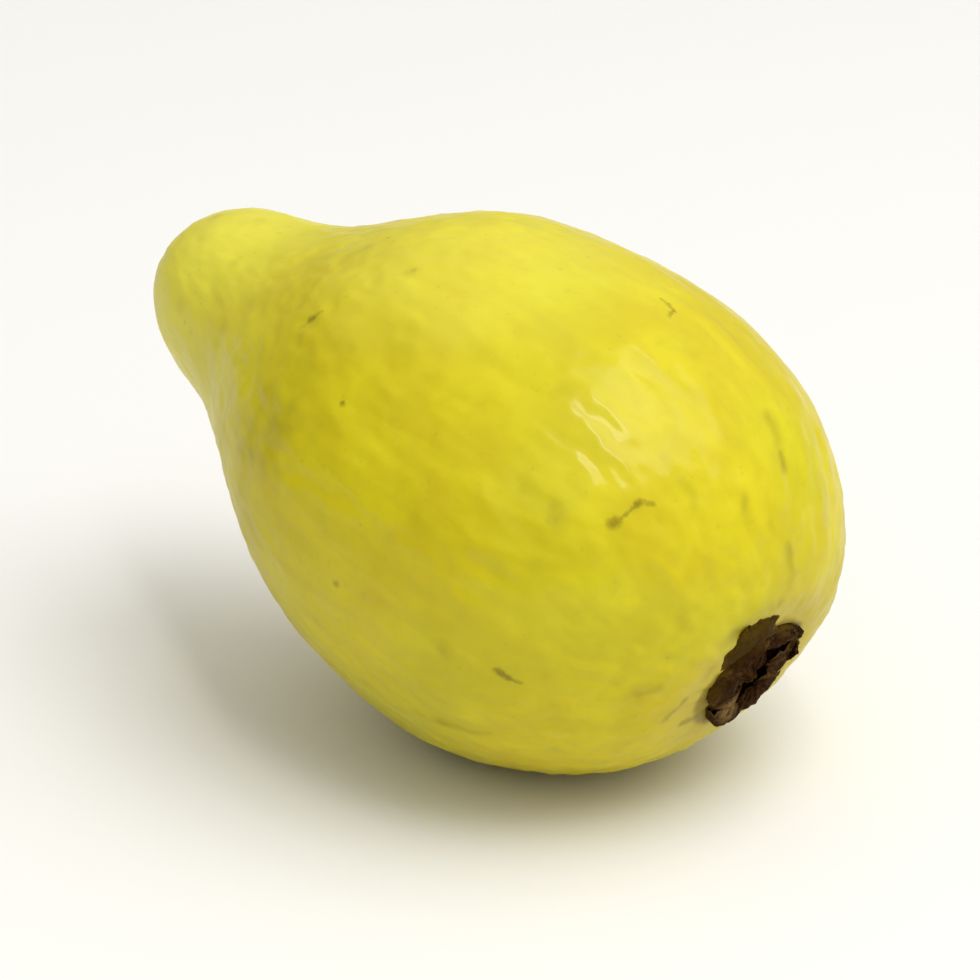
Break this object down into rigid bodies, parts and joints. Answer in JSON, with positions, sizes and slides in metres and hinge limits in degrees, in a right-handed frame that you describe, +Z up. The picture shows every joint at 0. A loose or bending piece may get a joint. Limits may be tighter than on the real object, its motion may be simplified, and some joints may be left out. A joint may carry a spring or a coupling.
{
  "type": "guava",
  "caption": "Pear-shaped yellow guava lying on its belly, with a narrow neck, a broad belly and a dried brown crown at the blossom end.",
  "frame": {"origin": "bottom centre of the bounding box, on the floor that the fruit rests on", "axes": "+X along the fruit towards the crown at the blossom end, +Z up, +Y to the left when looking along +X"},
  "size_m": [0.1044, 0.0668, 0.0692],
  "materials": {
    "guava_skin": "waxy satin fruit skin, yellow with faint green, pebbled, with small brown specks",
    "dried_calyx": "dry, rough, fibrous, dark brown sepals"
  },
  "bodies": {
    "root": {"fruit": "guava_skin", "calyx": "dried_calyx"}
  },
  "joints": []
}
